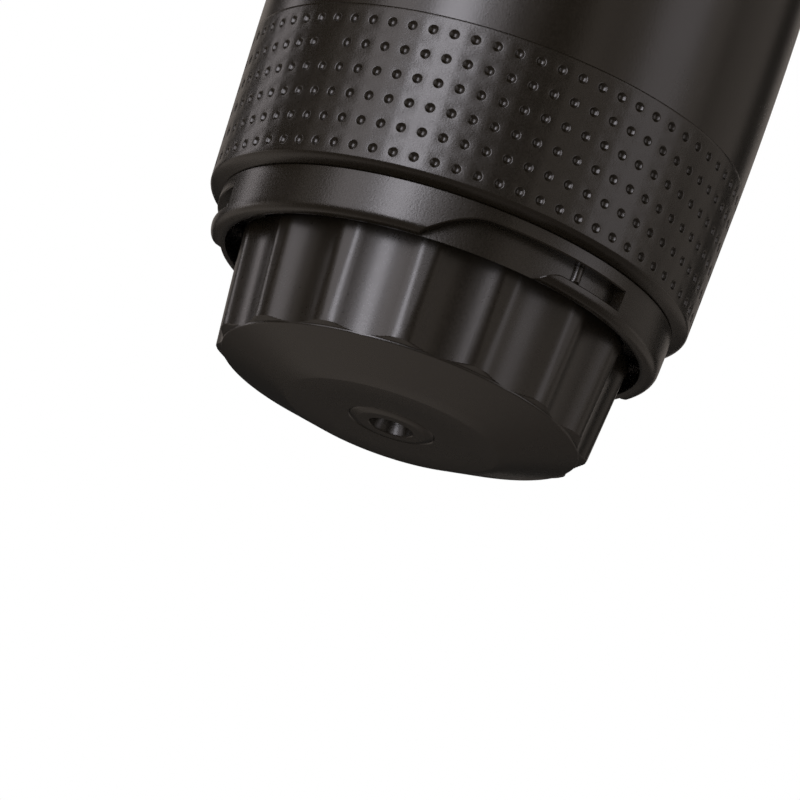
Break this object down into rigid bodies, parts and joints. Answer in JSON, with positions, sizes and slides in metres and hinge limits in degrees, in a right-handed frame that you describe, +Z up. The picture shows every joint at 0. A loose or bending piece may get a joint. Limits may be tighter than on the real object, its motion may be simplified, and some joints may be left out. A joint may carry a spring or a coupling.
{
  "type": "handheld manual espresso maker",
  "caption": "Pocket hand-pumped espresso maker: fluted screw-on outlet head, dimpled grip band, side pump knob and screw-on water tank.",
  "frame": {"origin": "centre of the flat disc round the outlet, on which the maker stands", "axes": "+Z up through the tank; the pump works along X with its knob on the -X side"},
  "size_m": [0.0852, 0.062, 0.135],
  "materials": {
    "casing": "satin charcoal plastic with a fine grain",
    "grip": "satin charcoal plastic, dimpled",
    "head": "smooth satin charcoal plastic",
    "tank": "satin charcoal plastic",
    "frame": "moulded dark grey nylon",
    "pump": "natural acetal",
    "knob": "satin charcoal plastic",
    "accent": "brushed steel disc",
    "steel": "stainless steel",
    "basket": "pressed stainless steel",
    "seal": "red-brown silicone",
    "soft_seal": "black nitrile rubber",
    "spring": "drawn spring wire",
    "valve": "white acetal"
  },
  "bodies": {
    "maker": {"grip_band": "grip", "bayonet_collar": "casing", "main_body": "casing", "brew_chamber": "frame", "brew_gasket": "seal", "shower_plate": "steel", "shower_screw": "steel", "chassis": "frame", "pump_clamp": "frame", "pump_body": "pump", "cylinder_nut": "frame", "guide_sleeve": "frame", "thrust_washer": "steel", "return_spring": "spring", "inlet_strainer": "steel", "vent_valve": "seal", "inlet_seat": "seal", "inlet_spring": "spring", "inlet_plug": "pump", "delivery_seat": "seal", "delivery_spring": "spring", "delivery_plug": "pump", "intake_tube": "steel", "transfer_tube": "steel", "body_screws": "steel", "chamber_screws": "steel", "collar_screws": "steel", "clamp_screws": "steel"},
    "inlet_check": {"inlet_ball": "steel"},
    "delivery_check": {"delivery_ball": "steel"},
    "piston": {"piston_seal": "soft_seal"},
    "knob": {"piston_rod": "steel", "piston_knob": "knob", "knob_cap": "accent"},
    "tank_seal": {"tank_gasket": "seal"},
    "tank": {"water_tank": "tank"},
    "basket": {"filter_basket": "basket", "basket_screen": "basket"},
    "outlet": {"outlet_head": "head", "outlet_nozzle": "head", "valve_retainer": "valve", "crema_spring": "spring"},
    "crema_valve": {"crema_plunger": "seal"}
  },
  "joints": [
    {"name": "piston_push", "type": "slide", "parent": "maker", "child": "piston", "axis": [1, 0, 0], "range_m": [0, 0.014], "stiffness_N_per_m": 600, "springref_m": -0.012, "deforming": ["return_spring"]},
    {"name": "knob_turn", "type": "hinge", "parent": "piston", "child": "knob", "pos_m": [-0.04, 0, 0.067], "axis": [-1, 0, 0], "range_deg": [0, 30]},
    {"name": "tank_turn", "type": "hinge", "parent": "tank_seal", "child": "tank", "pos_m": [0, 0, 0.1], "axis": [0, 0, 1], "range_deg": [0, 301]},
    {"name": "tank_lift", "type": "slide", "parent": "maker", "child": "tank_seal", "axis": [0, 0, 1], "range_m": [0, 0.0075]},
    {"name": "head_turn", "type": "hinge", "parent": "basket", "child": "outlet", "pos_m": [0, 0, 0.02], "axis": [0, 0, -1], "range_deg": [0, 361]},
    {"name": "head_drop", "type": "slide", "parent": "maker", "child": "basket", "axis": [0, 0, -1], "range_m": [0, 0.009]},
    {"name": "inlet_ball_drop", "type": "slide", "parent": "maker", "child": "inlet_check", "axis": [0, 0, -1], "range_m": [0, 0.0008], "stiffness_N_per_m": 20, "springref_m": -0.001, "deforming": ["inlet_spring"]},
    {"name": "delivery_ball_drop", "type": "slide", "parent": "maker", "child": "delivery_check", "axis": [0, 0, -1], "range_m": [0, 0.0008], "stiffness_N_per_m": 20, "springref_m": -0.001, "deforming": ["delivery_spring"]},
    {"name": "crema_valve_drop", "type": "slide", "parent": "outlet", "child": "crema_valve", "axis": [0, 0, -1], "range_m": [0, 0.0007], "stiffness_N_per_m": 5, "springref_m": -0.001, "deforming": ["crema_spring"]}
  ],
  "couplings": [
    {"joint": "tank_turn", "follows": "tank_lift", "rad_per_m": 698.13},
    {"joint": "head_turn", "follows": "head_drop", "rad_per_m": 698.13}
  ]
}
